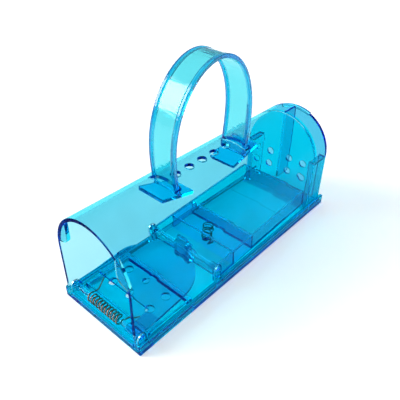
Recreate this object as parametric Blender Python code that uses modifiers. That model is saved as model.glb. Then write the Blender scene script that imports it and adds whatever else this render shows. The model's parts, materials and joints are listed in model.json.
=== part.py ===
"""Live catch trap: a clear arched tunnel on a slide-in tray, with a sprung door at its mouth,
a see-saw trigger pedal that holds the door down, a lift-out bait cap and a strap handle.

Metres, +Z up. X is the width, Y the length with the door mouth at -Y, and the origin is the
centre of the tray's underside. The trap stands set: the door lies flat under the latch hook.
"""
import math

import bmesh
import bpy
from mathutils import Vector

# Tray
HALF_LENGTH = 0.0850
BASE_HALF_WIDTH = 0.0294
FLOOR_HALF_WIDTH = 0.0250
FLOOR_TOP = 0.0020
RAIL_TOP = 0.0065
RAIL_LIP_UNDERSIDE = 0.0053
RAIL_LIP_INNER_X = 0.0274
RAIL_WALL_INNER_X = 0.0282
INNER_HALF_WIDTH = 0.0246
FRONT_BAR_REAR_Y = -0.0834
FRONT_BAR_TOP = 0.0048
ENTRANCE_FRONT_Y = -0.0755
ENTRANCE_REAR_Y = -0.0448
ENTRANCE_TOP = 0.0056
ENTRANCE_SKIN = 0.0014
ENTRANCE_HOLE_X = (-0.0140, 0.0, 0.0140)
ENTRANCE_HOLE_Y = (-0.0650, -0.0535)
AIR_HOLE_RADIUS = 0.0025

# Tunnel: straight walls with a half-round roof
TUNNEL_RADIUS = 0.02705
TUNNEL_WALL = 0.0019
SPRING_LINE_Z = 0.0377
TUNNEL_FOOT_Z = 0.0024
TUNNEL_FRONT_Y = -0.0849
TUNNEL_REAR_Y = 0.0686
FLANGE_OUTER_X = 0.0279
FLANGE_TOP = 0.0049
ARC_STEPS = 40
ROOF_HOLE_COUNT = 5
ROOF_HOLE_FIRST_Y = -0.0287
ROOF_HOLE_PITCH = 0.00988
DOOR_STOP_INNER_X = 0.0179
DOOR_STOP_KNEE_Z = 0.0465
DOOR_STOP_LOW_Z = 0.0410
DOOR_STOP_REAR_Y = -0.0828

# Axles, which lie in saddles on the tray
AXLE_RADIUS = 0.0015
AXLE_HALF_LENGTH = 0.0270
AXLE_DOME = 0.0009
BORE_RADIUS = 0.0018
SADDLE_X = (0.0253, 0.0269)
SADDLE_HALF_WIDTH = 0.0023
NOTCH_RADIUS = 0.0026
DOOR_AXIS_Y = -0.0809
DOOR_AXIS_Z = 0.0080
PEDAL_AXIS_Y = -0.0249
PEDAL_AXIS_Z = 0.0130

# Door flap, in its own frame: the axle is the origin and +Y runs to the round end
DOOR_SET_ANGLE = math.radians(5.0)
DOOR_HALF_WIDTH = 0.0246
DOOR_THICKNESS = 0.0014
DOOR_LIFT = 0.0008
DOOR_NOTCH_X = (-0.0215, 0.0170)
DOOR_NOTCH_Y = 0.0129
DOOR_BARREL_RADIUS = 0.0024
DOOR_BARREL_OUTER_X = 0.0243
SPRING_NUB_X = (-0.0203, -0.0116)
SPRING_NUB_RADIUS = 0.0012

# Trigger pedal, in its own frame: its axle is the origin and +Y runs to the rear
PEDAL_SET_ANGLE = math.radians(2.9)
PEDAL_HALF_WIDTH = 0.0244
PEDAL_WALL = 0.0014
PEDAL_UNDERSIDE = -0.0096
PEDAL_WALL_TOP = 0.0010
PEDAL_FRONT = 0.0015
PEDAL_REAR = 0.0891
PLATFORM_FRONT = 0.0149
PLATFORM_REAR = 0.0339
REAR_STEP = 0.0689
REAR_STEP_DEPTH = 0.0006
HOOK_HALF_WIDTH = 0.0050
HOOK_FRONT = -0.0016
HOOK_REAR = 0.0030
HOOK_TOP = 0.0060
HOOK_STEM_FRONT = -0.0002
HOOK_STEM_REAR = 0.0016
HOOK_NOSE_Z = (0.0024, 0.0040)
HOOK_NOSE_REAR = 0.0013
PEDAL_BARREL_RADIUS = 0.0021
PEDAL_BARREL_INNER_X = 0.0205

# Springs
DOOR_SPRING_X = (-0.0120, 0.0094)
DOOR_SPRING_COIL_RADIUS = 0.0033
DOOR_SPRING_WIRE_RADIUS = 0.0004
DOOR_SPRING_START = math.radians(45)
DOOR_SPRING_END = math.radians(11 * 360 - 60)
DOOR_LEG_POINTS = ((-0.0185, -0.0665, 0.0085), (-0.0150, -0.0720, 0.0085), (-0.0128, -0.0758, 0.0087))
FLOOR_LEG_POINTS = ((0.0098, -0.0770, 0.0063), (0.0108, -0.0748, 0.0064), (0.0140, -0.0695, 0.0064))
TRIGGER_SPRING_X = -0.0010
TRIGGER_SPRING_Y = -0.0012
TRIGGER_SPRING_RADIUS = 0.0031
TRIGGER_SPRING_WIRE_RADIUS = 0.00035
TRIGGER_SPRING_Z = (0.0027, 0.0129)
TRIGGER_SPRING_TURNS = 6
TRIGGER_SPRING_END_PITCH = 0.00084
SPIGOT_RADIUS = 0.0022
SPIGOT_TOP = 0.0050
COIL_STEPS = 12

# Bait cap and the posts that guide it
CAP_FRONT_Y = 0.0690
CAP_REAR_Y = 0.0836
CAP_PLATE = 0.0014
CAP_SKIN = 0.0016
CAP_SHOULDER_Z = 0.0372
CAP_FOOT_Z = 0.0040
CAP_LOWER_HALF_WIDTH = 0.0217
CAP_RIB_HALF = 0.0007
CAP_RIB_BOTTOM = 0.0150
BAIT_HOLE_X = (-0.0177, -0.00735, 0.00735, 0.0177)
BAIT_HOLE_Z = (0.0236, 0.0334)
BAIT_HOLE_RADIUS = 0.0024
LIP_INNER_RADIUS = 0.0240
LIP_OUTER_RADIUS = 0.0268
LIP_HALF_ANGLE = math.radians(23.5)
POST_INNER_X = 0.0220
POST_OUTER_X = 0.0270
POST_TOP = 0.0369

# Strap handle
HANDLE_HALF_WIDTH = 0.0086
HANDLE_THICKNESS = 0.0022
HANDLE_CENTRE_Y = -0.0089
HANDLE_HALF_SPAN = 0.0289
HANDLE_WAIST_Z = 0.0820
HANDLE_RISE = 0.0382
HANDLE_FOOT_Z = 0.0575
HANDLE_FOOT_TUCK = 0.0026
HANDLE_LEAN = 0.0030
HANDLE_ARC_STEPS = 36
HANDLE_LEG_STEPS = 6
HANDLE_FOOT_OUTER = (0.0381, 0.0602)
HANDLE_FOOT_INNER = (0.0161, 0.0548)
HANDLE_FOOT_THICKNESS = 0.0018
SLOT_HALF_WIDTH = 0.0092
SLOT_SPAN = (0.0257, 0.0304)

# How far joined pieces run into each other, how far cutters run past, and the small step that
# keeps two faces out of one plane
OVERLAP = 0.0010
REACH = 0.0100
FACE_OFFSET = 0.0001

PLANE_ROTATION = {
    "XY": (0.0, 0.0, 0.0),
    "XZ": (math.pi / 2, 0.0, 0.0),
    "YZ": (math.pi / 2, 0.0, math.pi / 2),
}
CYLINDER_ROTATION = {
    "X": (0.0, math.pi / 2, 0.0),
    "Y": (math.pi / 2, 0.0, 0.0),
    "Z": (0.0, 0.0, 0.0),
}


# ---- scene and helpers -------------------------------------------------------------------

def clear_scene():
    for item in list(bpy.data.objects):
        bpy.data.objects.remove(item, do_unlink=True)


def new_collection(name):
    collection = bpy.data.collections.new(name)
    bpy.context.scene.collection.children.link(collection)
    return collection


def move_to(item, collection):
    for home in list(item.users_collection):
        home.objects.unlink(item)
    collection.objects.link(item)


def new_object(name, data):
    item = bpy.data.objects.new(name, data)
    bpy.context.scene.collection.objects.link(item)
    return item


def box(name, x_range, y_range, z_range, parent=None):
    """A block between the given limits, in the parent's frame where there is one."""
    low = Vector((x_range[0], y_range[0], z_range[0]))
    high = Vector((x_range[1], y_range[1], z_range[1]))
    bpy.ops.mesh.primitive_cube_add(size=1.0, location=(low + high) / 2)
    item = bpy.context.object
    item.name = name
    item.scale = high - low
    bpy.ops.object.transform_apply(location=False, rotation=False, scale=True)
    item.parent = parent
    return item


def cylinder(name, radius, length, centre, axis, parent=None, sides=24):
    bpy.ops.mesh.primitive_cylinder_add(
        vertices=sides, radius=radius, depth=length, location=centre, rotation=CYLINDER_ROTATION[axis]
    )
    item = bpy.context.object
    item.name = name
    item.parent = parent
    return item


def curve_to_mesh(curve_object):
    """Replaces a curve object with a closed mesh object at the same place."""
    name = curve_object.name
    bpy.context.view_layer.update()
    evaluated = curve_object.evaluated_get(bpy.context.evaluated_depsgraph_get())
    mesh = bpy.data.meshes.new_from_object(evaluated)
    work = bmesh.new()
    work.from_mesh(mesh)
    bmesh.ops.remove_doubles(work, verts=work.verts, dist=0.00001)
    bmesh.ops.recalc_face_normals(work, faces=work.faces)
    work.to_mesh(mesh)
    work.free()
    item = new_object(name, mesh)
    item.matrix_world = curve_object.matrix_world.copy()
    bpy.data.objects.remove(curve_object, do_unlink=True)
    item.name = name
    return item


def prism(name, outline, middle, thickness, plane, parent=None):
    """A flat outline, centred on `middle` along the plane's normal, as a closed mesh."""
    curve = bpy.data.curves.new(name, "CURVE")
    curve.dimensions = "2D"
    curve.fill_mode = "BOTH"
    curve.extrude = thickness / 2
    spline = curve.splines.new("POLY")
    spline.points.add(len(outline) - 1)
    for point, (across, up) in zip(spline.points, outline):
        point.co = (across, up, 0.0, 1.0)
    spline.use_cyclic_u = True
    flat = new_object(name, curve)
    flat.rotation_euler = PLANE_ROTATION[plane]
    flat.location = {"XY": (0, 0, middle), "XZ": (0, middle, 0), "YZ": (middle, 0, 0)}[plane]
    item = curve_to_mesh(flat)
    item.parent = parent
    return item


def slab(name, outline, y_range, parent=None):
    """A prism of an (x, z) outline between two stations along Y."""
    return prism(name, outline, sum(y_range) / 2, y_range[1] - y_range[0], "XZ", parent)


def wire(name, points, radius):
    curve = bpy.data.curves.new(name, "CURVE")
    curve.dimensions = "3D"
    curve.bevel_depth = radius
    curve.bevel_resolution = 2
    curve.use_fill_caps = True
    spline = curve.splines.new("POLY")
    spline.points.add(len(points) - 1)
    for point, place in zip(spline.points, points):
        point.co = (*place, 1.0)
    return new_object(name, curve)


def combine(target, operation, pieces, helpers):
    for piece in pieces:
        modifier = target.modifiers.new(piece.name, "BOOLEAN")
        modifier.operation = operation
        modifier.solver = "EXACT"
        modifier.object = piece
        piece.hide_render = True
        piece.display_type = "WIRE"
        move_to(piece, helpers)


def join(target, helpers, *pieces):
    combine(target, "UNION", pieces, helpers)


def cut(target, helpers, *pieces):
    combine(target, "DIFFERENCE", pieces, helpers)


def arc(radius, start, end, steps, centre=(0.0, 0.0), flatten=1.0):
    """Points on a round or flattened arc, angles in radians."""
    points = []
    for step in range(steps + 1):
        angle = start + (end - start) * step / steps
        points.append((centre[0] + radius * math.cos(angle), centre[1] + radius * flatten * math.sin(angle)))
    return points


def mirrored(outline):
    return [(-across, up) for across, up in outline]


def finish(item, collection, material):
    move_to(item, collection)
    item.data.materials.clear()
    item.data.materials.append(material)
    if item.type == "MESH":
        item.data.shade_smooth()
        item.data.set_sharp_from_angle(angle=math.radians(35))


def new_material(name, colour, roughness, metallic=0.0, transmission=0.0):
    material = bpy.data.materials.new(name)
    material.use_nodes = True
    shader = material.node_tree.nodes["Principled BSDF"]
    shader.inputs["Base Color"].default_value = (*colour, 1.0)
    shader.inputs["Roughness"].default_value = roughness
    shader.inputs["Metallic"].default_value = metallic
    shader.inputs["Transmission Weight"].default_value = transmission
    return material


# ---- tray --------------------------------------------------------------------------------

def rail_outline():
    return [
        (INNER_HALF_WIDTH, 0.0),
        (BASE_HALF_WIDTH, 0.0),
        (BASE_HALF_WIDTH, RAIL_TOP),
        (RAIL_LIP_INNER_X, RAIL_TOP),
        (RAIL_LIP_INNER_X, RAIL_LIP_UNDERSIDE),
        (RAIL_WALL_INNER_X, RAIL_LIP_UNDERSIDE),
        (RAIL_WALL_INNER_X, FLOOR_TOP),
        (INNER_HALF_WIDTH, FLOOR_TOP),
    ]


def saddle(name, side, axis_y, axis_z):
    x_range = sorted((side * SADDLE_X[0], side * SADDLE_X[1]))
    y_range = (axis_y - SADDLE_HALF_WIDTH, axis_y + SADDLE_HALF_WIDTH)
    return box(name, x_range, y_range, (FLOOR_TOP / 2, axis_z))


def axle_bore(name, axis_y, axis_z, parent=None):
    centre = (0.0, axis_y, axis_z)
    return cylinder(name, BORE_RADIUS, 2 * BASE_HALF_WIDTH + REACH, centre, "X", parent)


def corner_post(side):
    """One rear post and the hollow in it, which opens towards the bait cap."""
    x_range = sorted((side * POST_INNER_X, side * POST_OUTER_X))
    post = box("corner_post", x_range, (CAP_FRONT_Y, CAP_REAR_Y), (FLOOR_TOP / 2, POST_TOP))
    hollow_x = sorted((side * (POST_INNER_X - OVERLAP), side * (POST_OUTER_X - CAP_PLATE)))
    hollow_y = (CAP_FRONT_Y + CAP_PLATE, CAP_REAR_Y - CAP_PLATE)
    return post, box("post_hollow", hollow_x, hollow_y, (FLOOR_TOP, POST_TOP - CAP_PLATE))


def base_tray(helpers):
    full = (-HALF_LENGTH, HALF_LENGTH)
    tray = box("base_tray", (-FLOOR_HALF_WIDTH, FLOOR_HALF_WIDTH), full, (0.0, FLOOR_TOP))
    join(tray, helpers, slab("right_rail", rail_outline(), full))
    join(tray, helpers, slab("left_rail", mirrored(rail_outline()), full))

    inner_x = (-INNER_HALF_WIDTH, INNER_HALF_WIDTH)
    front_bar = box("front_bar", inner_x, (-HALF_LENGTH, FRONT_BAR_REAR_Y), (FLOOR_TOP / 2, FRONT_BAR_TOP))
    entrance_y = (ENTRANCE_FRONT_Y, ENTRANCE_REAR_Y)
    entrance = box("entrance_floor", inner_x, entrance_y, (FLOOR_TOP / 2, ENTRANCE_TOP))
    join(tray, helpers, front_bar, entrance)
    hollow_x = (-INNER_HALF_WIDTH + ENTRANCE_SKIN, INNER_HALF_WIDTH - ENTRANCE_SKIN)
    hollow_y = (ENTRANCE_FRONT_Y + ENTRANCE_SKIN, ENTRANCE_REAR_Y - ENTRANCE_SKIN)
    cut(tray, helpers, box("entrance_hollow", hollow_x, hollow_y, (-OVERLAP, ENTRANCE_TOP - ENTRANCE_SKIN)))
    for y in ENTRANCE_HOLE_Y:
        for x in ENTRANCE_HOLE_X:
            cut(tray, helpers, cylinder("entrance_hole", AIR_HOLE_RADIUS, REACH, (x, y, ENTRANCE_TOP), "Z"))

    for side in (-1, 1):
        post, hollow = corner_post(side)
        join(tray, helpers, post)
        cut(tray, helpers, hollow)
        join(tray, helpers, saddle("door_saddle", side, DOOR_AXIS_Y, DOOR_AXIS_Z))
        join(tray, helpers, saddle("pedal_saddle", side, PEDAL_AXIS_Y, PEDAL_AXIS_Z))
    cut(tray, helpers, axle_bore("door_saddle_bore", DOOR_AXIS_Y, DOOR_AXIS_Z))
    cut(tray, helpers, axle_bore("pedal_saddle_bore", PEDAL_AXIS_Y, PEDAL_AXIS_Z))
    spigot_foot = FLOOR_TOP / 2
    spigot_middle = (TRIGGER_SPRING_X, TRIGGER_SPRING_Y, (spigot_foot + SPIGOT_TOP) / 2)
    join(tray, helpers, cylinder("spring_spigot", SPIGOT_RADIUS, SPIGOT_TOP - spigot_foot, spigot_middle, "Z"))
    return tray


# ---- tunnel ------------------------------------------------------------------------------

def tunnel_outline():
    centre = (0.0, SPRING_LINE_Z)
    inner_radius = TUNNEL_RADIUS - TUNNEL_WALL
    right_foot = [
        (inner_radius, TUNNEL_FOOT_Z),
        (FLANGE_OUTER_X, TUNNEL_FOOT_Z),
        (FLANGE_OUTER_X, FLANGE_TOP),
        (TUNNEL_RADIUS, FLANGE_TOP),
    ]
    roof = arc(TUNNEL_RADIUS, 0.0, math.pi, ARC_STEPS, centre)
    ceiling = arc(inner_radius, math.pi, 0.0, ARC_STEPS, centre)
    return right_foot + roof + mirrored(reversed(right_foot)) + ceiling


def door_stop_outline():
    """A web in the roof's shoulder: the shell outside, an upright edge and a round knee inside."""
    centre = (0.0, SPRING_LINE_Z)
    radius = TUNNEL_RADIUS - TUNNEL_WALL / 2
    low = math.asin((DOOR_STOP_LOW_Z - SPRING_LINE_Z) / radius)
    high = math.acos(DOOR_STOP_INNER_X / radius)
    shell = arc(radius, low, high, 12, centre)
    knee_x = radius * math.cos(low)
    knee_width = knee_x - DOOR_STOP_INNER_X
    flatten = (DOOR_STOP_KNEE_Z - DOOR_STOP_LOW_Z) / knee_width
    knee = arc(knee_width, math.pi, 1.5 * math.pi, 8, (knee_x, DOOR_STOP_KNEE_Z), flatten)
    return shell + knee[:-1]


def axle_notch(side, axis_y, axis_z):
    """A slot in one side wall that drops over an axle and its saddle."""
    x_range = sorted((side * (INNER_HALF_WIDTH - OVERLAP), side * (FLANGE_OUTER_X + OVERLAP)))
    y_range = (axis_y - NOTCH_RADIUS, axis_y + NOTCH_RADIUS)
    slot = box("notch_slot", x_range, y_range, (0.0, axis_z))
    middle = (sum(x_range) / 2, axis_y, axis_z)
    return slot, cylinder("notch_top", NOTCH_RADIUS, x_range[1] - x_range[0], middle, "X")


def tunnel_cover(helpers):
    cover = slab("tunnel_cover", tunnel_outline(), (TUNNEL_FRONT_Y, TUNNEL_REAR_Y))
    stop_y = (TUNNEL_FRONT_Y, DOOR_STOP_REAR_Y)
    join(cover, helpers, slab("right_door_stop", door_stop_outline(), stop_y))
    join(cover, helpers, slab("left_door_stop", mirrored(door_stop_outline()), stop_y))
    crown_z = SPRING_LINE_Z + TUNNEL_RADIUS
    for number in range(ROOF_HOLE_COUNT):
        y = ROOF_HOLE_FIRST_Y + number * ROOF_HOLE_PITCH
        cut(cover, helpers, cylinder("roof_hole", AIR_HOLE_RADIUS, REACH, (0.0, y, crown_z), "Z"))
    for side in (-1, 1):
        slot_y = sorted((HANDLE_CENTRE_Y + side * SLOT_SPAN[0], HANDLE_CENTRE_Y + side * SLOT_SPAN[1]))
        slot_x = (-SLOT_HALF_WIDTH, SLOT_HALF_WIDTH)
        cut(cover, helpers, box("handle_slot", slot_x, slot_y, (crown_z - REACH, crown_z + REACH)))
        cut(cover, helpers, *axle_notch(side, DOOR_AXIS_Y, DOOR_AXIS_Z))
        cut(cover, helpers, *axle_notch(side, PEDAL_AXIS_Y, PEDAL_AXIS_Z))
    return cover


# ---- bait cap ----------------------------------------------------------------------------

def cap_plate_outline():
    """An arch over the posts' tops and a narrower tongue that drops between the posts."""
    right = [
        (CAP_LOWER_HALF_WIDTH, CAP_FOOT_Z),
        (CAP_LOWER_HALF_WIDTH, CAP_SHOULDER_Z),
        (TUNNEL_RADIUS, CAP_SHOULDER_Z + FACE_OFFSET),
    ]
    top = arc(TUNNEL_RADIUS, 0.0, math.pi, ARC_STEPS, (0.0, SPRING_LINE_Z))
    return right + top + mirrored(reversed(right))


def cap_chamber_outline():
    """The room between the plates, open below and at the sides under the shoulders."""
    inner_radius = TUNNEL_RADIUS - CAP_SKIN
    feet = [(-inner_radius, CAP_FOOT_Z - OVERLAP), (inner_radius, CAP_FOOT_Z - OVERLAP)]
    return feet + arc(inner_radius, 0.0, math.pi, ARC_STEPS, (0.0, SPRING_LINE_Z))


def finger_lip_outline():
    start = math.pi / 2 - LIP_HALF_ANGLE
    end = math.pi / 2 + LIP_HALF_ANGLE
    centre = (0.0, SPRING_LINE_Z)
    return arc(LIP_OUTER_RADIUS, start, end, 12, centre) + arc(LIP_INNER_RADIUS, end, start, 12, centre)


def bait_cap(helpers):
    cap = slab("bait_cap", cap_plate_outline(), (CAP_FRONT_Y, CAP_REAR_Y))
    room_y = (CAP_FRONT_Y + CAP_PLATE, CAP_REAR_Y - CAP_PLATE)
    cut(cap, helpers, slab("chamber", cap_chamber_outline(), room_y))
    rib_y = (CAP_FRONT_Y + CAP_PLATE / 2, CAP_REAR_Y - CAP_PLATE / 2)
    rib_top = SPRING_LINE_Z + TUNNEL_RADIUS - CAP_SKIN / 2
    join(cap, helpers, box("cap_rib", (-CAP_RIB_HALF, CAP_RIB_HALF), rib_y, (CAP_RIB_BOTTOM, rib_top)))
    for x in BAIT_HOLE_X:
        for z in BAIT_HOLE_Z:
            centre = (x, CAP_FRONT_Y, z)
            cut(cap, helpers, cylinder("bait_hole", BAIT_HOLE_RADIUS, 4 * CAP_PLATE, centre, "Y"))
    join(cap, helpers, slab("finger_lip", finger_lip_outline(), (CAP_REAR_Y - CAP_PLATE / 2, HALF_LENGTH)))
    return cap


# ---- door --------------------------------------------------------------------------------

def hinge_frame(name, axis_y, axis_z, angle):
    frame = new_object(name, None)
    frame.location = (0.0, axis_y, axis_z)
    frame.rotation_euler = (angle, 0.0, 0.0)
    return frame


def door_outline():
    """Straight sides, a round end that fits the roof, and a notch for the spring at the axle."""
    round_end = arc(DOOR_HALF_WIDTH, 0.0, math.pi, ARC_STEPS, (0.0, SPRING_LINE_Z - DOOR_AXIS_Z))
    left_ear = [(-DOOR_HALF_WIDTH, 0.0), (DOOR_NOTCH_X[0], 0.0), (DOOR_NOTCH_X[0], DOOR_NOTCH_Y)]
    right_ear = [(DOOR_NOTCH_X[1], DOOR_NOTCH_Y), (DOOR_NOTCH_X[1], 0.0), (DOOR_HALF_WIDTH, 0.0)]
    return round_end + left_ear + right_ear


def barrel(name, x_range, radius, parent):
    middle = (sum(x_range) / 2, 0.0, 0.0)
    return cylinder(name, radius, abs(x_range[1] - x_range[0]), middle, "X", parent)


def door_flap(helpers):
    frame = hinge_frame("door_hinge", DOOR_AXIS_Y, DOOR_AXIS_Z, DOOR_SET_ANGLE)
    flap = prism("door_flap", door_outline(), DOOR_LIFT, DOOR_THICKNESS, "XY", frame)
    left = (-DOOR_BARREL_OUTER_X, DOOR_NOTCH_X[0] - FACE_OFFSET)
    right = (DOOR_NOTCH_X[1] + FACE_OFFSET, DOOR_BARREL_OUTER_X)
    join(flap, helpers, barrel("left_barrel", left, DOOR_BARREL_RADIUS, frame))
    join(flap, helpers, barrel("right_barrel", right, DOOR_BARREL_RADIUS, frame))
    for x in SPRING_NUB_X:
        centre = (x, DOOR_NOTCH_Y + SPRING_NUB_RADIUS / 2, DOOR_LIFT + DOOR_THICKNESS / 2)
        radius = SPRING_NUB_RADIUS
        bpy.ops.mesh.primitive_uv_sphere_add(segments=12, ring_count=8, radius=radius, location=centre)
        nub = bpy.context.object
        nub.name = "spring_nub"
        nub.parent = frame
        join(flap, helpers, nub)
    cut(flap, helpers, axle_bore("door_bore", 0.0, 0.0, frame))
    return flap


def axle(name, axis_y, axis_z):
    rod = cylinder(name, AXLE_RADIUS, 2 * AXLE_HALF_LENGTH, (0.0, axis_y, axis_z), "X")
    dome = rod.modifiers.new("domed_ends", "BEVEL")
    dome.width = AXLE_DOME
    dome.segments = 3
    dome.limit_method = "ANGLE"
    dome.angle_limit = math.radians(60)
    return rod


def door_spring():
    """Coil round the door axle, with one leg under the flap and one on the entrance floor."""
    turns = (DOOR_SPRING_END - DOOR_SPRING_START) / (2 * math.pi)
    count = round(turns * COIL_STEPS)
    points = list(DOOR_LEG_POINTS)
    for step in range(count + 1):
        share = step / count
        angle = DOOR_SPRING_START + share * (DOOR_SPRING_END - DOOR_SPRING_START)
        x = DOOR_SPRING_X[0] + share * (DOOR_SPRING_X[1] - DOOR_SPRING_X[0])
        y = DOOR_AXIS_Y + DOOR_SPRING_COIL_RADIUS * math.cos(angle)
        z = DOOR_AXIS_Z + DOOR_SPRING_COIL_RADIUS * math.sin(angle)
        points.append((x, y, z))
    return wire("door_spring", points + list(FLOOR_LEG_POINTS), DOOR_SPRING_WIRE_RADIUS)


# ---- trigger pedal -----------------------------------------------------------------------

def trigger_pedal(helpers):
    frame = hinge_frame("pedal_hinge", PEDAL_AXIS_Y, PEDAL_AXIS_Z, PEDAL_SET_ANGLE)
    full_x = (-PEDAL_HALF_WIDTH, PEDAL_HALF_WIDTH)
    inner_x = (-PEDAL_HALF_WIDTH + PEDAL_WALL, PEDAL_HALF_WIDTH - PEDAL_WALL)
    floor_z = PEDAL_UNDERSIDE + PEDAL_WALL
    above = PEDAL_WALL_TOP + OVERLAP
    pedal = box("trigger_pedal", full_x, (PEDAL_FRONT, PEDAL_REAR), (PEDAL_UNDERSIDE, PEDAL_WALL_TOP), frame)

    front_pan = box("front_pan", inner_x, (PEDAL_FRONT - OVERLAP, PLATFORM_FRONT), (floor_z, above), frame)
    under_y = (PLATFORM_FRONT + PEDAL_WALL, PLATFORM_REAR - PEDAL_WALL)
    under_z = (PEDAL_UNDERSIDE - OVERLAP, PEDAL_WALL_TOP - PEDAL_WALL)
    under_platform = box("under_platform", inner_x, under_y, under_z, frame)
    rear_end = PEDAL_REAR - PEDAL_WALL
    rear_pan = box("rear_pan", inner_x, (PLATFORM_REAR, rear_end), (floor_z, above), frame)
    step_floor = floor_z - REAR_STEP_DEPTH
    rear_step = box("rear_step", inner_x, (REAR_STEP, rear_end), (step_floor, floor_z + OVERLAP), frame)
    cut(pedal, helpers, front_pan, under_platform, rear_pan, rear_step)

    for side in (-1, 1):
        ear_x = sorted((side * inner_x[1], side * PEDAL_HALF_WIDTH))
        ear = box("hinge_ear", ear_x, (HOOK_FRONT, 2 * PEDAL_FRONT), (PEDAL_UNDERSIDE, PEDAL_WALL_TOP), frame)
        barrel_x = sorted((side * PEDAL_BARREL_INNER_X, side * (PEDAL_HALF_WIDTH - FACE_OFFSET)))
        join(pedal, helpers, ear, barrel("hinge_barrel", barrel_x, PEDAL_BARREL_RADIUS, frame))

    hook_x = (-HOOK_HALF_WIDTH, HOOK_HALF_WIDTH)
    stem_x = (-HOOK_HALF_WIDTH + OVERLAP, HOOK_HALF_WIDTH - OVERLAP)
    block = box("hook_block", hook_x, (HOOK_FRONT, HOOK_REAR), (PEDAL_UNDERSIDE, 2 * PEDAL_WALL_TOP), frame)
    stem = box("hook_stem", stem_x, (HOOK_STEM_FRONT, HOOK_STEM_REAR), (0.0, HOOK_TOP), frame)
    nose = box("hook_nose", stem_x, (HOOK_FRONT, HOOK_NOSE_REAR), HOOK_NOSE_Z, frame)
    join(pedal, helpers, block, stem, nose)
    cut(pedal, helpers, axle_bore("pedal_bore", 0.0, 0.0, frame))
    return pedal


def trigger_spring():
    """Upright coil between the tray's spigot and the underside of the pedal's platform."""
    count = TRIGGER_SPRING_TURNS * COIL_STEPS
    low = TRIGGER_SPRING_Z[0]
    high = TRIGGER_SPRING_Z[1]
    open_turns = TRIGGER_SPRING_TURNS - 2
    open_pitch = (high - low - 2 * TRIGGER_SPRING_END_PITCH) / open_turns
    points = []
    for step in range(count + 1):
        turn = step / COIL_STEPS
        angle = 2 * math.pi * turn
        first = min(turn, 1.0) * TRIGGER_SPRING_END_PITCH
        middle = min(max(turn - 1.0, 0.0), open_turns) * open_pitch
        last = max(turn - 1.0 - open_turns, 0.0) * TRIGGER_SPRING_END_PITCH
        x = TRIGGER_SPRING_X + TRIGGER_SPRING_RADIUS * math.cos(angle)
        y = TRIGGER_SPRING_Y + TRIGGER_SPRING_RADIUS * math.sin(angle)
        points.append((x, y, low + first + middle + last))
    return wire("trigger_spring", points, TRIGGER_SPRING_WIRE_RADIUS)


# ---- handle ------------------------------------------------------------------------------

def handle_lean(z):
    share = (z - HANDLE_FOOT_Z) / (HANDLE_WAIST_Z + HANDLE_RISE - HANDLE_FOOT_Z)
    return HANDLE_LEAN * share * share


def handle_centre_line():
    """(y, z) from the front foot over the top to the rear foot: tucked-in legs and a tall arch."""
    shape = []
    drop = HANDLE_WAIST_Z - HANDLE_FOOT_Z
    for step in range(HANDLE_LEG_STEPS):
        share = 1.0 - step / HANDLE_LEG_STEPS
        shape.append((-HANDLE_HALF_SPAN + HANDLE_FOOT_TUCK * share * share, HANDLE_WAIST_Z - drop * share))
    for step in range(HANDLE_ARC_STEPS + 1):
        angle = math.pi * (1.0 - step / HANDLE_ARC_STEPS)
        y = HANDLE_HALF_SPAN * math.cos(angle)
        shape.append((y, HANDLE_WAIST_Z + HANDLE_RISE * math.sin(angle)))
    shape += [(-y, z) for y, z in reversed(shape[:HANDLE_LEG_STEPS])]
    return [(HANDLE_CENTRE_Y + y + handle_lean(z), z) for y, z in shape]


def thick_line(line, thickness):
    """The outline of a strip of the given thickness along a line."""
    left = []
    right = []
    for index, point in enumerate(line):
        before = Vector(line[max(index - 1, 0)])
        after = Vector(line[min(index + 1, len(line) - 1)])
        along = (after - before).normalized()
        offset = Vector((-along.y, along.x)) * thickness / 2
        left.append(tuple(Vector(point) + offset))
        right.append(tuple(Vector(point) - offset))
    return left + right[::-1]


def handle_foot_line(side):
    ends = (HANDLE_FOOT_OUTER, HANDLE_FOOT_INNER)
    return [(HANDLE_CENTRE_Y + side * reach, z) for reach, z in ends]


def carry_handle(helpers):
    width = 2 * HANDLE_HALF_WIDTH
    handle = prism("carry_handle", thick_line(handle_centre_line(), HANDLE_THICKNESS), 0.0, width, "YZ")
    for side in (-1, 1):
        outline = thick_line(handle_foot_line(side), HANDLE_FOOT_THICKNESS)
        join(handle, helpers, prism("handle_foot", outline, 0.0, width - 2 * FACE_OFFSET, "YZ"))
    return handle


# ---- assembly ----------------------------------------------------------------------------

def main():
    clear_scene()
    parts = new_collection("live_catch_trap")
    helpers = new_collection("cutters")
    clear_blue = new_material("clear_blue_plastic", (0.02, 0.62, 0.86), 0.08, transmission=0.9)
    deep_blue = new_material("deep_blue_plastic", (0.01, 0.42, 0.72), 0.10, transmission=0.9)
    spring_steel = new_material("spring_steel", (0.16, 0.14, 0.13), 0.30, metallic=1.0)

    finish(base_tray(helpers), parts, deep_blue)
    finish(tunnel_cover(helpers), parts, clear_blue)
    finish(bait_cap(helpers), parts, clear_blue)
    finish(door_flap(helpers), parts, deep_blue)
    finish(axle("door_axle", DOOR_AXIS_Y, DOOR_AXIS_Z), parts, clear_blue)
    finish(door_spring(), parts, spring_steel)
    finish(trigger_pedal(helpers), parts, deep_blue)
    finish(axle("pedal_axle", PEDAL_AXIS_Y, PEDAL_AXIS_Z), parts, clear_blue)
    finish(trigger_spring(), parts, spring_steel)
    finish(carry_handle(helpers), parts, clear_blue)


main()
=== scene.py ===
"""Looks of the live catch trap: clear blue mouldings, steel springs, studio light and camera.

Metres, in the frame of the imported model: X is the width, Y the length with the door mouth at
-Y, Z up. Every moulding is a closed solid, so its dye darkens with the way light takes in it.
"""
import json
import math

import bmesh
import bpy
from mathutils import Matrix, Vector


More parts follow.
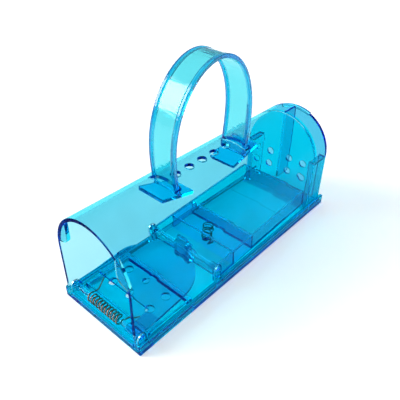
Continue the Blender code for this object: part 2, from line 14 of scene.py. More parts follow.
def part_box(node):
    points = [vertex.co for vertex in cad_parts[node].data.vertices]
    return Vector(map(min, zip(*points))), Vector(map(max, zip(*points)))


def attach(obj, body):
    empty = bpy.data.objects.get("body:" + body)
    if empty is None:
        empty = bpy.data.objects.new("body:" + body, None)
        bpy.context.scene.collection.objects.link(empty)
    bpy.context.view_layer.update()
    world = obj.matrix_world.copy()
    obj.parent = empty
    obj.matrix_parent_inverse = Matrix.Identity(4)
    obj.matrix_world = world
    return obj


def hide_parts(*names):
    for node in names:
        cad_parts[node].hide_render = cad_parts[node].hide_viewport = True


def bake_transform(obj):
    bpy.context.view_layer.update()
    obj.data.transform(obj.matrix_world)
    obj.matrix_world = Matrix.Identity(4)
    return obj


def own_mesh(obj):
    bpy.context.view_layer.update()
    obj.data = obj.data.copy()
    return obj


# Camera: fitted lens position, heading, dip and tilt
CAMERA_PLACE = (0.1396, -0.1693, 0.1915)
CAMERA_HEADING = math.radians(41.23)
CAMERA_DIP = math.radians(35.91)
CAMERA_ROLL = math.radians(0.89)
CAMERA_LENS_MM = 41.9
CAMERA_SENSOR_MM = 36.0
CAMERA_NEAREST = 0.005

# Materials. Noise scales are in waves a metre, and a ripple is (scale, depth, stretch)
PLASTIC_IOR = 1.5
MIRROR_START = 0.9  # past this Fresnel value reflections rise to full, so light stays in a wall
MM_PER_METRE = 1000.0
MOULD_RIPPLE = (90.0, 0.000012, (1.0, 1.0, 1.0))
STRAP_RIPPLE = (500.0, 0.00011, (0.22, 1.0, 1.0))
RIPPLE_DETAIL = 1.0
STREAK_SCALE = 40.0
STREAK_DETAIL = 2.0
STREAK_DEPTH = 0.95
POLISH_SCALE = 700.0
POLISH_DETAIL = 3.0
POLISH = (0.004, 0.022)
NOISE_RANGE = (0.3, 0.7)
# Spring wire: its dark patches are painted shade and its coppery patches painted highlights, laid
# at random
STEEL_SHADE_DARK = (0.02, 0.018, 0.018)
STEEL_COPPER_HIGHLIGHT = (0.50, 0.30, 0.21)
STEEL_PATCH_SCALE = 500.0
STEEL_PATCH_DETAIL = 3.0
STEEL_MARK_SCALE = 2500.0
STEEL_MARK_DETAIL = 2.0
STEEL_MARK_DEPTH = 0.00001
STEEL_ROUGHNESS = (0.22, 0.42)

# Zones of another tint: rows of (axis, low, high), and a place in a zone is inside every row
ZONE_BLEND = 0.0004
RIM_TINT = (0.02, 0.35, 0.64)
CAP_SHELL_ZONE = (("Y", 0.0708, 0.0900),)
CAP_SHELL_TINT = (0.60, 0.72, 0.84)
PLATFORM_ZONE = (("Y", -0.0102, 0.0074),)
PLATFORM_TINT = (0.25, 0.74, 0.96)
HOOK_ZONE = (("Y", -0.0300, -0.0215), ("X", 0.0030, 0.0056))
HOOK_TINT = (0.05, 0.40, 0.62)
ENTRANCE_ZONE = (("Y", -0.0900, -0.0660),)
ENTRANCE_TINT = (0.40, 0.67, 0.85)
CORNER_ZONE = (("Y", 0.0660, 0.0900),)
CORNER_TINT = (0.40, 0.66, 0.80)
RIGHT_RAIL_ZONE = (("X", 0.0262, 0.0310),)
LEFT_RAIL_ZONE = (("X", -0.0310, -0.0262),)
RAIL_TINT = (0.30, 0.60, 0.72)

# Stage. A lobe of the sky is (direction, full within, gone past, strength), in degrees
FLOOR_GAP = 0.0003
FLOOR_SIZE = 6.0
FLOOR_ALBEDO = 0.92
FLOOR_ROUGHNESS = 0.9
FLOOR_GLOW = 0.42
SKY_STRENGTH = 0.4
SKY_LOBES = (
    ((-0.1, 0.3, 1.0), 22, 50, 0.25),
    ((-0.66, -0.59, 0.46), 10, 20, 13.0),
    ((0.62, -0.70, 0.45), 20, 50, -0.2),
)
GLASS_BOUNCES = 128
DIFFUSE_BOUNCES = 6

# Strap handle: a strap bent from one leg over the top to the other, and a foot under each leg
STRAP_HALF_WIDTH = 0.0086
STRAP_THICKNESS = 0.0022
STRAP_MIDDLE_THICKNESS = 0.0014
STRAP_RIM = 0.0017
STRAP_RAMP = 0.0011
STRAP_ROUND = 0.0006
STRAP_CENTRE_Y = -0.0089
STRAP_HALF_SPAN = 0.0289
STRAP_WAIST_Z = 0.0820
STRAP_RISE = 0.0382
STRAP_FOOT_Z = 0.0575
STRAP_FOOT_TUCK = 0.0026
STRAP_LEAN = 0.0030
STRAP_LEG_STEPS = 12
STRAP_ARCH_STEPS = 80
STRAP_RAMP_STEPS = 6
STRAP_ROUND_STEPS = 5
FOOT_OUTER = (0.0381, 0.0602)
FOOT_INNER = (0.0161, 0.0548)
FOOT_THICKNESS = 0.0018
FOOT_HALF_WIDTH = 0.0085
FOOT_CORNER = 0.0008
FOOT_CORNER_SLANT = 0.6
FOOT_EDGE_SEGMENTS = 3

# Springs. The door's is wound on the hinge axis that the frame gives, in turns counted from +Y
DOOR_COIL_X = (-0.0124, 0.0112)
DOOR_COIL_RADIUS = 0.0024
DOOR_COIL_TURNS = (45 / 360, 11 - 60 / 360)
DOOR_WIRE_RADIUS = 0.00036
DOOR_LEG = (
    (-0.0185, -0.0665, 0.0085),
    (-0.0150, -0.0720, 0.0085),
    (-0.0128, -0.0758, 0.0087),
)
FLOOR_LEG = (
    (0.0116, -0.0772, 0.0064),
    (0.0124, -0.0752, 0.0064),
    (0.0144, -0.0720, 0.0064),
)
LEG_STEPS = 8
LEG_AIM = 3  # a leg meets the coil heading for the coil's point this many steps in
TRIGGER_COIL_CENTRE = (-0.0010, -0.0012)
TRIGGER_COIL_RADIUS = 0.0031
TRIGGER_COIL_Z = (0.0027, 0.0129)
TRIGGER_COIL_TURNS = 6
TRIGGER_END_PITCH = 0.00084
TRIGGER_WIRE_RADIUS = 0.00027
COIL_STEPS = 40
WIRE_ROUNDNESS = 6

# Axles
AXLE_SIDES = 48
AXLE_DOME_STEPS = 8
AXLE_DOME = 0.0009

# Rounded edges
EDGE_RADIUS = 0.00018
SMALL_EDGE_RADIUS = 0.00012
EDGE_SEGMENTS = 2
EDGE_ANGLE = math.radians(32)
FLAT_ANGLE = math.radians(0.6)
SHARP_ANGLE = math.radians(50)
ROUNDING_ROOM = 3.0
MERGE_DISTANCE = 0.000002
FACE_WEIGHT = 100

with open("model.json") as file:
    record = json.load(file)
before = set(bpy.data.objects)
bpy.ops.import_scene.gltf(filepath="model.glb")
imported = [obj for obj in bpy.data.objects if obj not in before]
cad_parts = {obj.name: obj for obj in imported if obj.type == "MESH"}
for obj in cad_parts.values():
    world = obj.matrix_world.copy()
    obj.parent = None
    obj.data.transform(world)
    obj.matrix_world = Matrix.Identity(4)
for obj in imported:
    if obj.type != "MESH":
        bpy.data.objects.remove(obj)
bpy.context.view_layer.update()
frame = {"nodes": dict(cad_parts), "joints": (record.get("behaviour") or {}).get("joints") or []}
nodes = frame["nodes"]
door_hinge = next(joint for joint in frame["joints"] if joint["name"] == "door_hinge")
DOOR_AXIS = door_hinge["pos_m"][1:]


# ---- meshes ------------------------------------------------------------------------------

def new_object(name, data):
    piece = bpy.data.objects.new(name, data)
    bpy.context.scene.collection.objects.link(piece)
    return piece


def reach_from(edge, face):
    """How far a face goes to the side of one of its edges."""
    start = edge.verts[0].co
    along = (edge.verts[1].co - start).normalized()
    across = face.normal.cross(along)
    return max(abs((vertex.co - start).dot(across)) for vertex in face.verts)


def takes_rounding(edge, radius):
    """True for an outer edge whose two faces are wide enough to give up the radius."""
    if len(edge.link_faces) != 2 or not edge.is_convex:
        return False
    if edge.calc_face_angle(0.0) < EDGE_ANGLE:
        return False
    return min(reach_from(edge, face) for face in edge.link_faces) > ROUNDING_ROOM * radius


def round_edges(mesh, radius, segments):
    """Rounds the outer edges, between two splits of hollow-cornered faces, which keep it clean."""
    work = bmesh.new()
    work.from_mesh(mesh)
    bmesh.ops.connect_verts_concave(work, faces=work.faces)
    outer = [edge for edge in work.edges if takes_rounding(edge, radius)]
    bmesh.ops.bevel(
        work, geom=outer, offset=radius, segments=segments, profile=0.5, affect="EDGES"
    )
    bmesh.ops.connect_verts_concave(work, faces=work.faces)
    mesh.clear_geometry()
    work.to_mesh(mesh)
    work.free()


def refined(node, radius=EDGE_RADIUS):
    """A copy of a CAD piece with flat regions as single faces and with rounded outer edges."""
    mesh = nodes[node].data.copy()
    work = bmesh.new()
    work.from_mesh(mesh)
    bmesh.ops.remove_doubles(work, verts=work.verts, dist=MERGE_DISTANCE)
    bmesh.ops.dissolve_limit(work, angle_limit=FLAT_ANGLE, verts=work.verts, edges=work.edges)
    mesh.clear_geometry()
    work.to_mesh(mesh)
    work.free()
    mesh.materials.clear()
    round_edges(mesh, radius, EDGE_SEGMENTS)
    for layer in ("custom_normal", "sharp_edge", "sharp_face"):
        if layer in mesh.attributes:
            mesh.attributes.remove(mesh.attributes[layer])
    piece = new_object(node + "_moulding", mesh)
    weighted_shading(piece)
    return piece


def weighted_shading(piece):
    """Smooth shading that keeps large flat faces flat and stops at sharp edges."""
    piece.data.shade_smooth()
    piece.data.set_sharp_from_angle(angle=SHARP_ANGLE)
    shading = piece.modifiers.new("flat_face_shading", "WEIGHTED_NORMAL")
    shading.mode = "FACE_AREA"
    shading.weight = FACE_WEIGHT
    shading.keep_sharp = True


def swept(name, rings):
    """A closed skin over rings of points, with a flat face on each end."""
    mesh = bpy.data.meshes.new(name)
    work = bmesh.new()
    rows = [[work.verts.new(point) for point in ring] for ring in rings]
    count = len(rows[0])
    for low, high in zip(rows, rows[1:]):
        for index in range(count):
            after = (index + 1) % count
            work.faces.new((low[index], low[after], high[after], high[index]))
    work.faces.new(rows[0][::-1])
    work.faces.new(rows[-1])
    bmesh.ops.recalc_face_normals(work, faces=work.faces)
    work.to_mesh(mesh)
    work.free()
    return new_object(name, mesh)


def strap_lean(z):
    """How far back the strap leans at a height."""
    share = (z - STRAP_FOOT_Z) / (STRAP_WAIST_Z + STRAP_RISE - STRAP_FOOT_Z)
    return STRAP_LEAN * share * share


def strap_line():
    """(y, z) along the strap's middle: tucked-in legs and a tall arch that leans back a little."""
    drop = STRAP_WAIST_Z - STRAP_FOOT_Z
    leg = []
    for step in range(STRAP_LEG_STEPS):
        share = 1.0 - step / STRAP_LEG_STEPS
        tuck = STRAP_FOOT_TUCK * share * share
        leg.append((-STRAP_HALF_SPAN + tuck, STRAP_WAIST_Z - drop * share))
    arch = []
    for step in range(STRAP_ARCH_STEPS + 1):
        angle = math.pi * (1.0 - step / STRAP_ARCH_STEPS)
        rise = STRAP_RISE * math.sin(angle)
        arch.append((STRAP_HALF_SPAN * math.cos(angle), STRAP_WAIST_Z + rise))
    line = leg + arch + [(-y, z) for y, z in reversed(leg)]
    return [(STRAP_CENTRE_Y + y + strap_lean(z), z) for y, z in line]


def strap_section():
    """(across, out) round the strap: thick rounded rims and a thinner middle on both faces."""
    half = STRAP_THICKNESS / 2
    middle = STRAP_MIDDLE_THICKNESS / 2
    inner = STRAP_HALF_WIDTH - STRAP_RIM
    quarter = []
    for step in range(STRAP_RAMP_STEPS + 1):
        share = step / STRAP_RAMP_STEPS
        blend = share * share * (3.0 - 2.0 * share)
        quarter.append((inner - STRAP_RAMP * (1.0 - share), middle + (half - middle) * blend))
    corner = STRAP_HALF_WIDTH - STRAP_ROUND
    for step in range(STRAP_ROUND_STEPS + 1):
        angle = math.pi / 2 * (1.0 - step / STRAP_ROUND_STEPS)
        across = corner + STRAP_ROUND * math.cos(angle)
        quarter.append((across, half - STRAP_ROUND + STRAP_ROUND * math.sin(angle)))
    right = quarter + [(across, -out) for across, out in reversed(quarter)]
    return right + [(-across, -out) for across, out in right]


def strap():
    line = strap_line()
    section = strap_section()
    rings = []
    for index, (y, z) in enumerate(line):
        before = Vector(line[max(index - 1, 0)])
        after = Vector(line[min(index + 1, len(line) - 1)])
        along = (after - before).normalized()
        out = Vector((-along.y, along.x))
        rings.append([(across, y + out.x * rise, z + out.y * rise) for across, rise in section])
    piece = swept("handle_strap", rings)
    weighted_shading(piece)
    return piece


def foot_plate(name, side):
    """The barbed foot of one leg: a sloping plate with cut corners under the roof."""
    outer = Vector((STRAP_CENTRE_Y + side * FOOT_OUTER[0], FOOT_OUTER[1]))
    inner = Vector((STRAP_CENTRE_Y + side * FOOT_INNER[0], FOOT_INNER[1]))
    along = (inner - outer).normalized()
    rise = Vector((-along.y, along.x))
    if rise.y < 0.0:
        rise = -rise
    length = (inner - outer).length
    across = FOOT_HALF_WIDTH
    cut = FOOT_CORNER
    slant = cut * FOOT_CORNER_SLANT
    half = [
        (0.0, across - cut),
        (slant, across),
        (length - slant, across),
        (length, across - cut),
    ]
    outline = half + [(reach, -width) for reach, width in reversed(half)]
    rings = []
    for height in (-FOOT_THICKNESS / 2, FOOT_THICKNESS / 2):
        ring = []
        for reach, width in outline:
            place = outer + along * reach + rise * height
            ring.append((width, place.x, place.y))
        rings.append(ring)
    piece = swept(name, rings)
    round_edges(piece.data, EDGE_RADIUS, FOOT_EDGE_SEGMENTS)
    weighted_shading(piece)
    return piece


def rod(name, node):
    """A round axle with domed ends, as long and thick as its CAD node."""
    low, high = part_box(node)
    radius = (high.z - low.z) / 2
    centre = (low + high) / 2
    flat = radius - AXLE_DOME
    profile = []
    for step in range(AXLE_DOME_STEPS + 1):
        angle = math.pi / 2 * step / AXLE_DOME_STEPS
        x = low.x + AXLE_DOME * (1.0 - math.cos(angle))
        profile.append((x, flat + AXLE_DOME * math.sin(angle)))
    profile.sort(key=lambda point: point[1])
    profile += [(low.x + high.x - x, reach) for x, reach in reversed(profile)]
    rings = []
    for x, reach in profile:
        ring = []
        for step in range(AXLE_SIDES):
            angle = 2 * math.pi * step / AXLE_SIDES
            y = centre.y + reach * math.cos(angle)
            ring.append((x, y, centre.z + reach * math.sin(angle)))
        rings.append(ring)
    piece = swept(name, rings)
    weighted_shading(piece)
    return piece


def smooth_run(points, steps):
    """A curve through the points, as Catmull and Rom draw it, with extra points between them."""
    padded = [points[0]] + list(points) + [points[-1]]
    run = []
    for p0, p1, p2, p3 in zip(padded, padded[1:], padded[2:], padded[3:]):
        a, b, c, d = (Vector(point) for point in (p0, p1, p2, p3))
        for step in range(steps):
            t = step / steps
            bend = 2 * a - 5 * b + 4 * c - d
            twist = 3 * b - a - 3 * c + d
            run.append((2 * b + (c - a) * t + bend * t * t + twist * t * t * t) / 2)
    return run + [Vector(points[-1])]


def wire(name, points, radius):
    """A round steel wire through the points, as a closed mesh."""
    curve = bpy.data.curves.new(name, "CURVE")
    curve.dimensions = "3D"
    curve.bevel_depth = radius
    curve.bevel_resolution = WIRE_ROUNDNESS
    curve.use_fill_caps = True
    spline = curve.splines.new("POLY")
    spline.points.add(len(points) - 1)
    for point, place in zip(spline.points, points):
        point.co = (*place, 1.0)
    path = new_object(name + "_path", curve)
    evaluated = path.evaluated_get(bpy.context.evaluated_depsgraph_get())
    mesh = bpy.data.meshes.new_from_object(evaluated)
    bpy.data.objects.remove(path)
    work = bmesh.new()
    work.from_mesh(mesh)
    bmesh.ops.remove_doubles(work, verts=work.verts, dist=MERGE_DISTANCE)
    work.to_mesh(mesh)
    work.free()
    mesh.shade_smooth()
    mesh.set_sharp_from_angle(angle=SHARP_ANGLE)
    return new_object(name, mesh)


def door_spring_wire():
    """The torsion spring: a leg on the door, the coil, and a leg on the entrance floor."""
    start, end = DOOR_COIL_TURNS
    count = round((end - start) * COIL_STEPS)
    coil = []
    for step in range(count + 1):
        share = step / count
        angle = 2 * math.pi * (start + share * (end - start))
        x = DOOR_COIL_X[0] + share * (DOOR_COIL_X[1] - DOOR_COIL_X[0])
        y = DOOR_AXIS[0] + DOOR_COIL_RADIUS * math.cos(angle)
        z = DOOR_AXIS[1] + DOOR_COIL_RADIUS * math.sin(angle)
        coil.append(Vector((x, y, z)))
    entry = smooth_run([*DOOR_LEG, coil[0], coil[LEG_AIM]], LEG_STEPS)[:-LEG_STEPS - 1]
    leaving = smooth_run([coil[-1 - LEG_AIM], coil[-1], *FLOOR_LEG], LEG_STEPS)[LEG_STEPS + 1:]
    return wire("door_spring_wire", entry + coil + leaving, DOOR_WIRE_RADIUS)


def trigger_spring_wire():
    """The compression spring, whose first and last turns lie closer together."""
    low, high = TRIGGER_COIL_Z
    open_turns = TRIGGER_COIL_TURNS - 2
    open_pitch = (high - low - 2 * TRIGGER_END_PITCH) / open_turns
    points = []
    for step in range(TRIGGER_COIL_TURNS * COIL_STEPS + 1):
        turn = step / COIL_STEPS
        first = min(turn, 1.0) * TRIGGER_END_PITCH
        middle = min(max(turn - 1.0, 0.0), open_turns) * open_pitch
        last = max(turn - 1.0 - open_turns, 0.0) * TRIGGER_END_PITCH
        x = TRIGGER_COIL_CENTRE[0] + TRIGGER_COIL_RADIUS * math.cos(2 * math.pi * turn)
        y = TRIGGER_COIL_CENTRE[1] + TRIGGER_COIL_RADIUS * math.sin(2 * math.pi * turn)
        points.append((x, y, low + first + middle + last))
    return wire("trigger_spring_wire", points, TRIGGER_WIRE_RADIUS)


# ---- materials ---------------------------------------------------------------------------

def noise(tree, scale, detail, stretch=(1.0, 1.0, 1.0)):
    """Smooth noise fixed to the piece, with so many waves a metre."""
    place = tree.nodes.new("ShaderNodeTexCoord")
    mapping = tree.nodes.new("ShaderNodeMapping")
    mapping.inputs["Scale"].default_value = stretch
    tree.links.new(place.outputs["Object"], mapping.inputs["Vector"])
    texture = tree.nodes.new("ShaderNodeTexNoise")
    texture.inputs["Scale"].default_value = scale
    texture.inputs["Detail"].default_value = detail
    tree.links.new(mapping.outputs["Vector"], texture.inputs["Vector"])
    return texture.outputs["Fac"]


def spread(tree, value, low, high):
    """The noise's usual range, stretched to go from low to high."""
    ramp = tree.nodes.new("ShaderNodeMapRange")
    ramp.inputs["From Min"].default_value = NOISE_RANGE[0]
    ramp.inputs["From Max"].default_value = NOISE_RANGE[1]
    ramp.inputs["To Min"].default_value = low
    ramp.inputs["To Max"].default_value = high
    tree.links.new(value, ramp.inputs["Value"])
    return ramp.outputs["Result"]


def shaded(tree, value, thin, thick):
    """A colour that goes from thin to thick with the noise."""
    mix = tree.nodes.new("ShaderNodeMix")
    mix.data_type = "RGBA"
    colours = [socket for socket in mix.inputs if socket.type == "RGBA"]
    colours[0].default_value = (*thin, 1.0)
    colours[1].default_value = (*thick, 1.0)
    tree.links.new(spread(tree, value, 0.0, 1.0), mix.inputs["Factor"])
    return next(socket for socket in mix.outputs if socket.type == "RGBA")


def waviness(tree, height, depth):
    bump = tree.nodes.new("ShaderNodeBump")
    bump.inputs["Distance"].default_value = depth
    tree.links.new(height, bump.inputs["Height"])
    return bump.outputs["Normal"]


def plastic(name, dye, tint, shine, gloss, ripple=MOULD_RIPPLE):
    """Clear dyed plastic. The dye gives what a millimetre takes from red, green and blue.

    The tint is what the two faces of a wall let through, and shine is the colour of reflections.
    Gloss is the share of a bare polished surface's reflections; the rest passes straight in.
    The tint's streaks, the polish and the mould's ripple vary a little over the piece.
    """
    material = bpy.data.materials.new(name)
    material.use_nodes = True
    tree = material.node_tree
    streaks = noise(tree, STREAK_SCALE, STREAK_DETAIL)
    thick = tuple(value * STREAK_DEPTH for value in tint)
    polish = spread(tree, noise(tree, POLISH_SCALE, POLISH_DETAIL), *POLISH)
    scale, depth, stretch = ripple
    surface_normal = waviness(tree, noise(tree, scale, RIPPLE_DETAIL, stretch), depth)
    shader = tree.nodes["Principled BSDF"]
    shader.inputs["IOR"].default_value = PLASTIC_IOR
    shader.inputs["Transmission Weight"].default_value = 1.0
    shader.inputs["Specular Tint"].default_value = (*shine, 1.0)
    passing = tree.nodes.new("ShaderNodeBsdfRefraction")
    passing.inputs["IOR"].default_value = PLASTIC_IOR
    tree.links.new(shaded(tree, streaks, tint, thick), shader.inputs["Base Color"])
    root = [tuple(math.sqrt(value) for value in colour) for colour in (tint, thick)]
    tree.links.new(shaded(tree, streaks, *root), passing.inputs["Color"])
    for layer in (shader, passing):
        tree.links.new(polish, layer.inputs["Roughness"])
        tree.links.new(surface_normal, layer.inputs["Normal"])
    surface = tree.nodes.new("ShaderNodeMixShader")
    mirror = tree.nodes.new("ShaderNodeFresnel")
    mirror.inputs["IOR"].default_value = PLASTIC_IOR
    share = tree.nodes.new("ShaderNodeMapRange")
    share.inputs["From Min"].default_value = MIRROR_START
    share.inputs["To Min"].default_value = gloss
    share.inputs["To Max"].default_value = 1.0
    tree.links.new(mirror.outputs["Fac"], share.inputs["Value"])
    tree.links.new(share.outputs["Result"], surface.inputs["Fac"])
    tree.links.new(passing.outputs["BSDF"], surface.inputs[1])
    tree.links.new(shader.outputs["BSDF"], surface.inputs[2])
    tree.links.new(surface.outputs["Shader"], tree.nodes["Material Output"].inputs["Surface"])
    absorption = tree.nodes.new("ShaderNodeVolumeAbsorption")
    strongest = max(dye)
    absorption.inputs["Color"].default_value = (*(1.0 - loss / strongest for loss in dye), 1.0)
    absorption.inputs["Density"].default_value = MM_PER_METRE * strongest
    tree.links.new(absorption.outputs["Volume"], tree.nodes["Material Output"].inputs["Volume"])
    return material


def recolour(material, share, tint):
    """Takes a plastic's colour to another one where a share, from 0 to 1, says so."""
    tree = material.node_tree
    root = tuple(math.sqrt(value) for value in tint)
    for layer, socket, colour in (
        ("Principled BSDF", "Base Color", tint),
        ("Refraction BSDF", "Color", root),
    ):
        target = tree.nodes[layer].inputs[socket]
        mix = tree.nodes.new("ShaderNodeMix")
        mix.data_type = "RGBA"
        colours = [item for item in mix.inputs if item.type == "RGBA"]
        tree.links.new(target.links[0].from_socket, colours[0])
        colours[1].default_value = (*colour, 1.0)
        tree.links.new(share, mix.inputs["Factor"])
        tree.links.new(next(item for item in mix.outputs if item.type == "RGBA"), target)


def coordinate(tree, axis):
    """The place along an axis, in the piece's own frame."""
    place = tree.nodes.new("ShaderNodeTexCoord")
    parts = tree.nodes.new("ShaderNodeSeparateXYZ")
    tree.links.new(place.outputs["Object"], parts.inputs["Vector"])
    return parts.outputs[axis]


def past(tree, value, start):
    """A share that rises softly from 0 to 1 as the value reaches the start."""
    step = tree.nodes.new("ShaderNodeMapRange")
    step.interpolation_type = "SMOOTHSTEP"
    step.inputs["From Min"].default_value = start - ZONE_BLEND
    step.inputs["From Max"].default_value = start
    tree.links.new(value, step.inputs["Value"])
    return step.outputs["Result"]


def arithmetic(tree, operation, *values):
    node = tree.nodes.new("ShaderNodeMath")
    node.operation = operation
    for value, socket in zip(values, node.inputs):
        if isinstance(value, float):
            socket.default_value = value
        else:
            tree.links.new(value, socket)
    return node.outputs["Value"]


def darken_rims(material, start, tint):
    """Gives a strap another colour on its thick rims, past start from its middle."""
    tree = material.node_tree
    across = arithmetic(tree, "ABSOLUTE", coordinate(tree, "X"))
    recolour(material, past(tree, across, start), tint)


def tint_zone(material, zone, tint):
    """Gives a plastic another colour inside a zone."""
    tree = material.node_tree
    inside = 1.0
    for axis, low, high in zone:
        offset = arithmetic(tree, "SUBTRACT", coordinate(tree, axis), (low + high) / 2)
        outside = past(tree, arithmetic(tree, "ABSOLUTE", offset), (high - low) / 2)
        inside = arithmetic(tree, "MULTIPLY", inside, arithmetic(tree, "SUBTRACT", 1.0, outside))
    recolour(material, inside, tint)


def steel():
    """Drawn spring wire of dark steel, darkened in random patches for painted shade and coppery in
    others for painted highlights, with fine marks along it.
    """
    material = bpy.data.materials.new("spring_steel")
    material.use_nodes = True
    tree = material.node_tree
    shader = tree.nodes["Principled BSDF"]
    shader.inputs["Metallic"].default_value = 1.0
    # Random patches of painted shade and painted coppery highlights in the wire's colour
    patches = noise(tree, STEEL_PATCH_SCALE, STEEL_PATCH_DETAIL)
    tree.links.new(shaded(tree, patches, STEEL_SHADE_DARK, STEEL_COPPER_HIGHLIGHT), shader.inputs["Base Color"])
    marks = noise(tree, STEEL_MARK_SCALE, STEEL_MARK_DETAIL)
    tree.links.new(spread(tree, marks, *STEEL_ROUGHNESS), shader.inputs["Roughness"])
    tree.links.new(waviness(tree, marks, STEEL_MARK_DEPTH), shader.inputs["Normal"])
    return material


def dress(piece, node, body, material):
    """Gives a piece its material and, if not None, its body, and hides the CAD node that it stands
    for.
    """
    piece.data.materials.append(material)
    if body is not None:
        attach(piece, body)
    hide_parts(node)


# ---- stage -------------------------------------------------------------------------------

def camera():
    """Heading turns from +Y towards -X, and dip looks down."""
    heading, dip, roll = CAMERA_HEADING, CAMERA_DIP, CAMERA_ROLL
    level = Vector((math.cos(heading), math.sin(heading), 0.0))
    reach = math.cos(dip)
    ahead = Vector((-math.sin(heading) * reach, math.cos(heading) * reach, -math.sin(dip)))
    above = level.cross(ahead)
    right = math.cos(roll) * level + math.sin(roll) * above
    up = math.cos(roll) * above - math.sin(roll) * level
    data = bpy.data.cameras.new("camera")
    data.lens = CAMERA_LENS_MM
    data.sensor_width = CAMERA_SENSOR_MM
    data.clip_start = CAMERA_NEAREST
    item = new_object("camera", data)
    turn = Matrix((right, up, -ahead)).transposed().to_4x4()
    item.matrix_world = Matrix.Translation(CAMERA_PLACE) @ turn
    bpy.context.scene.camera = item


def floor():
    mesh = bpy.data.meshes.new("floor")
    half = FLOOR_SIZE / 2
    corners = [(-half, -half), (half, -half), (half, half), (-half, half)]
    mesh.from_pydata([(x, y, -FLOOR_GAP) for x, y in corners], [], [(0, 1, 2, 3)])
    item = new_object("floor", mesh)
    material = bpy.data.materials.new("floor")
    material.use_nodes = True
    shader = material.node_tree.nodes["Principled BSDF"]
    shader.inputs["Base Color"].default_value = (FLOOR_ALBEDO, FLOOR_ALBEDO, FLOOR_ALBEDO, 1.0)
    shader.inputs["Roughness"].default_value = FLOOR_ROUGHNESS
    shader.inputs["Emission Color"].default_value = (1.0, 1.0, 1.0, 1.0)
    shader.inputs["Emission Strength"].default_value = FLOOR_GLOW
    mesh.materials.append(material)


def lobe(tree, direction, inner, outer, strength):
    """A soft round patch of light in the sky: full within one angle, gone past the other."""
    toward = Vector(direction).normalized()
    place = tree.nodes.new("ShaderNodeTexCoord")
    dot = tree.nodes.new("ShaderNodeVectorMath")
    dot.operation = "DOT_PRODUCT"
    dot.inputs[1].default_value = toward
    tree.links.new(place.outputs["Generated"], dot.inputs[0])
    ramp = tree.nodes.new("ShaderNodeMapRange")
    ramp.interpolation_type = "SMOOTHSTEP"
    ramp.inputs["From Min"].default_value = math.cos(outer)
    ramp.inputs["From Max"].default_value = math.cos(inner)
    ramp.inputs["To Min"].default_value = 0.0
    ramp.inputs["To Max"].default_value = strength
    tree.links.new(dot.outputs["Value"], ramp.inputs["Value"])
    return ramp.outputs["Result"]


def sky():
    """An even white sky with soft brighter and darker patches."""
    world = bpy.data.worlds.new("studio")
    world.use_nodes = True
    tree = world.node_tree
    background = tree.nodes["Background"]
    background.inputs["Color"].default_value = (1.0, 1.0, 1.0, 1.0)
    total = None
    for direction, inner, outer, strength in SKY_LOBES:
        light = lobe(tree, direction, math.radians(inner), math.radians(outer), strength)
        add = tree.nodes.new("ShaderNodeMath")
        add.operation = "ADD"
        tree.links.new(light, add.inputs[0])
        if total is None:
            add.inputs[1].default_value = SKY_STRENGTH
        else:
            tree.links.new(total, add.inputs[1])
        total = add.outputs["Value"]
    tree.links.new(total, background.inputs["Strength"])
    bpy.context.scene.world = world


tunnel_blue = plastic(
    "tunnel_blue",
    dye=(0.43, 0.026, 0.006), tint=(0.92, 0.81, 0.87), shine=(0.12, 0.60, 0.97), gloss=0.10,
)
cap_blue = plastic(
    "cap_blue",
    dye=(0.5, 0.028, 0.006), tint=(0.01, 0.96, 1.0), shine=(0.10, 0.60, 0.97), gloss=0.12,
)
handle_blue = plastic(
    "handle_blue",
    dye=(1.35, 0.022, 0.006), tint=(0.88, 0.71, 0.79), shine=(1.0, 1.0, 1.0), gloss=0.9,
    ripple=STRAP_RIPPLE,
)
tray_blue = plastic(
    "tray_blue",
    dye=(6.0, 0.025, 0.005), tint=(0.50, 0.95, 1.0), shine=(0.01, 0.55, 0.95), gloss=0.2,
)
pedal_blue = plastic(
    "pedal_blue",
    dye=(6.0, 0.02, 0.005), tint=(0.50, 0.84, 0.92), shine=(0.01, 0.55, 0.95), gloss=0.2,
)
rod_cyan = plastic(
    "rod_cyan",
    dye=(1.5, 0.03, 0.005), tint=(1.0, 1.0, 1.0), shine=(0.3, 0.8, 1.0), gloss=0.6,
)
door_blue = plastic(
    "door_blue",
    dye=(6.0, 0.025, 0.005), tint=(0.5, 0.71, 0.89), shine=(0.01, 0.55, 0.95), gloss=0.2,
)
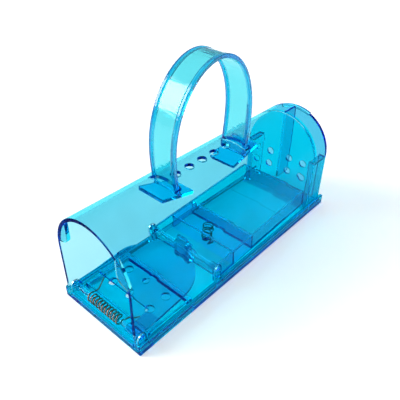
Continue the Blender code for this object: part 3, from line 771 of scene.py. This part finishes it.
foot_blue = plastic(
    "foot_blue",
    dye=(2.5, 0.02, 0.004), tint=(0.5, 0.70, 1.0), shine=(0.05, 0.6, 0.97), gloss=0.22,
)
darken_rims(handle_blue, STRAP_HALF_WIDTH - STRAP_RIM, RIM_TINT)
tint_zone(cap_blue, CAP_SHELL_ZONE, CAP_SHELL_TINT)
tint_zone(pedal_blue, PLATFORM_ZONE, PLATFORM_TINT)
tint_zone(pedal_blue, HOOK_ZONE, HOOK_TINT)
tint_zone(tray_blue, ENTRANCE_ZONE, ENTRANCE_TINT)
tint_zone(tray_blue, CORNER_ZONE, CORNER_TINT)
tint_zone(tray_blue, RIGHT_RAIL_ZONE, RAIL_TINT)
tint_zone(tray_blue, LEFT_RAIL_ZONE, RAIL_TINT)
spring_steel = steel()

dress(refined("base_tray"), "base_tray", "housing", tray_blue)
dress(refined("tunnel_cover"), "tunnel_cover", "housing", tunnel_blue)
dress(refined("bait_cap"), "bait_cap", "cap", cap_blue)
flap = refined("door_flap", SMALL_EDGE_RADIUS)
dress(flap, "door_flap", "door", door_blue)
pedal = refined("trigger_pedal", SMALL_EDGE_RADIUS)
dress(pedal, "trigger_pedal", "pedal", pedal_blue)
dress(strap(), "carry_handle", "housing", handle_blue)
dress(foot_plate("front_handle_foot", -1), "carry_handle", "housing", foot_blue)
dress(foot_plate("rear_handle_foot", 1), "carry_handle", "housing", foot_blue)
dress(rod("door_axle_rod", "door_axle"), "door_axle", "housing", rod_cyan)
dress(rod("pedal_axle_rod", "pedal_axle"), "pedal_axle", "housing", rod_cyan)
door_spring = door_spring_wire()
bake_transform(door_spring)
dress(door_spring, "door_spring", None, spring_steel)
trigger_spring = trigger_spring_wire()
dress(trigger_spring, "trigger_spring", "housing", spring_steel)
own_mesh(trigger_spring)

camera()
floor()
sky()

scene = bpy.context.scene
scene.view_settings.view_transform = "Standard"
scene.cycles.max_bounces = GLASS_BOUNCES
scene.cycles.transmission_bounces = GLASS_BOUNCES
scene.cycles.glossy_bounces = GLASS_BOUNCES
scene.cycles.diffuse_bounces = DIFFUSE_BOUNCES
scene.cycles.blur_glossy = 0.0
